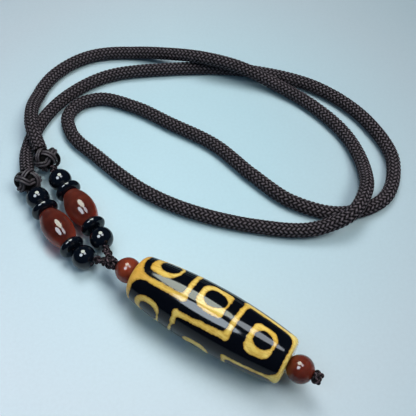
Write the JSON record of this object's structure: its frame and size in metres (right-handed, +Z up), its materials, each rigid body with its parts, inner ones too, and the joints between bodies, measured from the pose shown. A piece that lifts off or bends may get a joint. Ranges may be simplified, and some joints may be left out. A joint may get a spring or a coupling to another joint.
{
  "type": "dzi bead necklace",
  "caption": "Necklace of thick braided dark cord in a double loop, with woven knots, black and red stone beads and a long etched dzi bead.",
  "frame": {"origin": "middle of the box round the beads and knots, at the surface that the necklace lies on", "axes": "+X to the right of the picture, +Y away from its viewer, +Z up"},
  "size_m": [0.1403, 0.1459, 0.019],
  "materials": {
    "braided_cord": "matt braided yarn with a soft sheen",
    "knotted_thread": "satin twisted cord",
    "black_stone": "polished",
    "red_stone": "polished, faintly clouded",
    "dzi_stone": "polished black and cream yellow etched agate"
  },
  "bodies": {
    "root": {"neck_cord": "braided_cord", "button_knot_right": "knotted_thread", "button_knot_left": "knotted_thread", "neck_thread_knot": "knotted_thread", "upper_round_right": "black_stone", "upper_rondelle_right": "black_stone", "carnelian_barrel_right": "red_stone", "lower_rondelle_right": "black_stone", "lower_round_right": "black_stone", "upper_round_left": "black_stone", "upper_rondelle_left": "black_stone", "carnelian_barrel_left": "red_stone", "lower_rondelle_left": "black_stone", "lower_round_left": "black_stone", "string_thread_right": "knotted_thread", "string_thread_left": "knotted_thread", "joint_knot": "knotted_thread", "red_round_upper": "red_stone", "dzi_bead": "dzi_stone", "red_round_lower": "red_stone", "pendant_thread": "knotted_thread", "end_knot": "knotted_thread"}
  },
  "joints": []
}
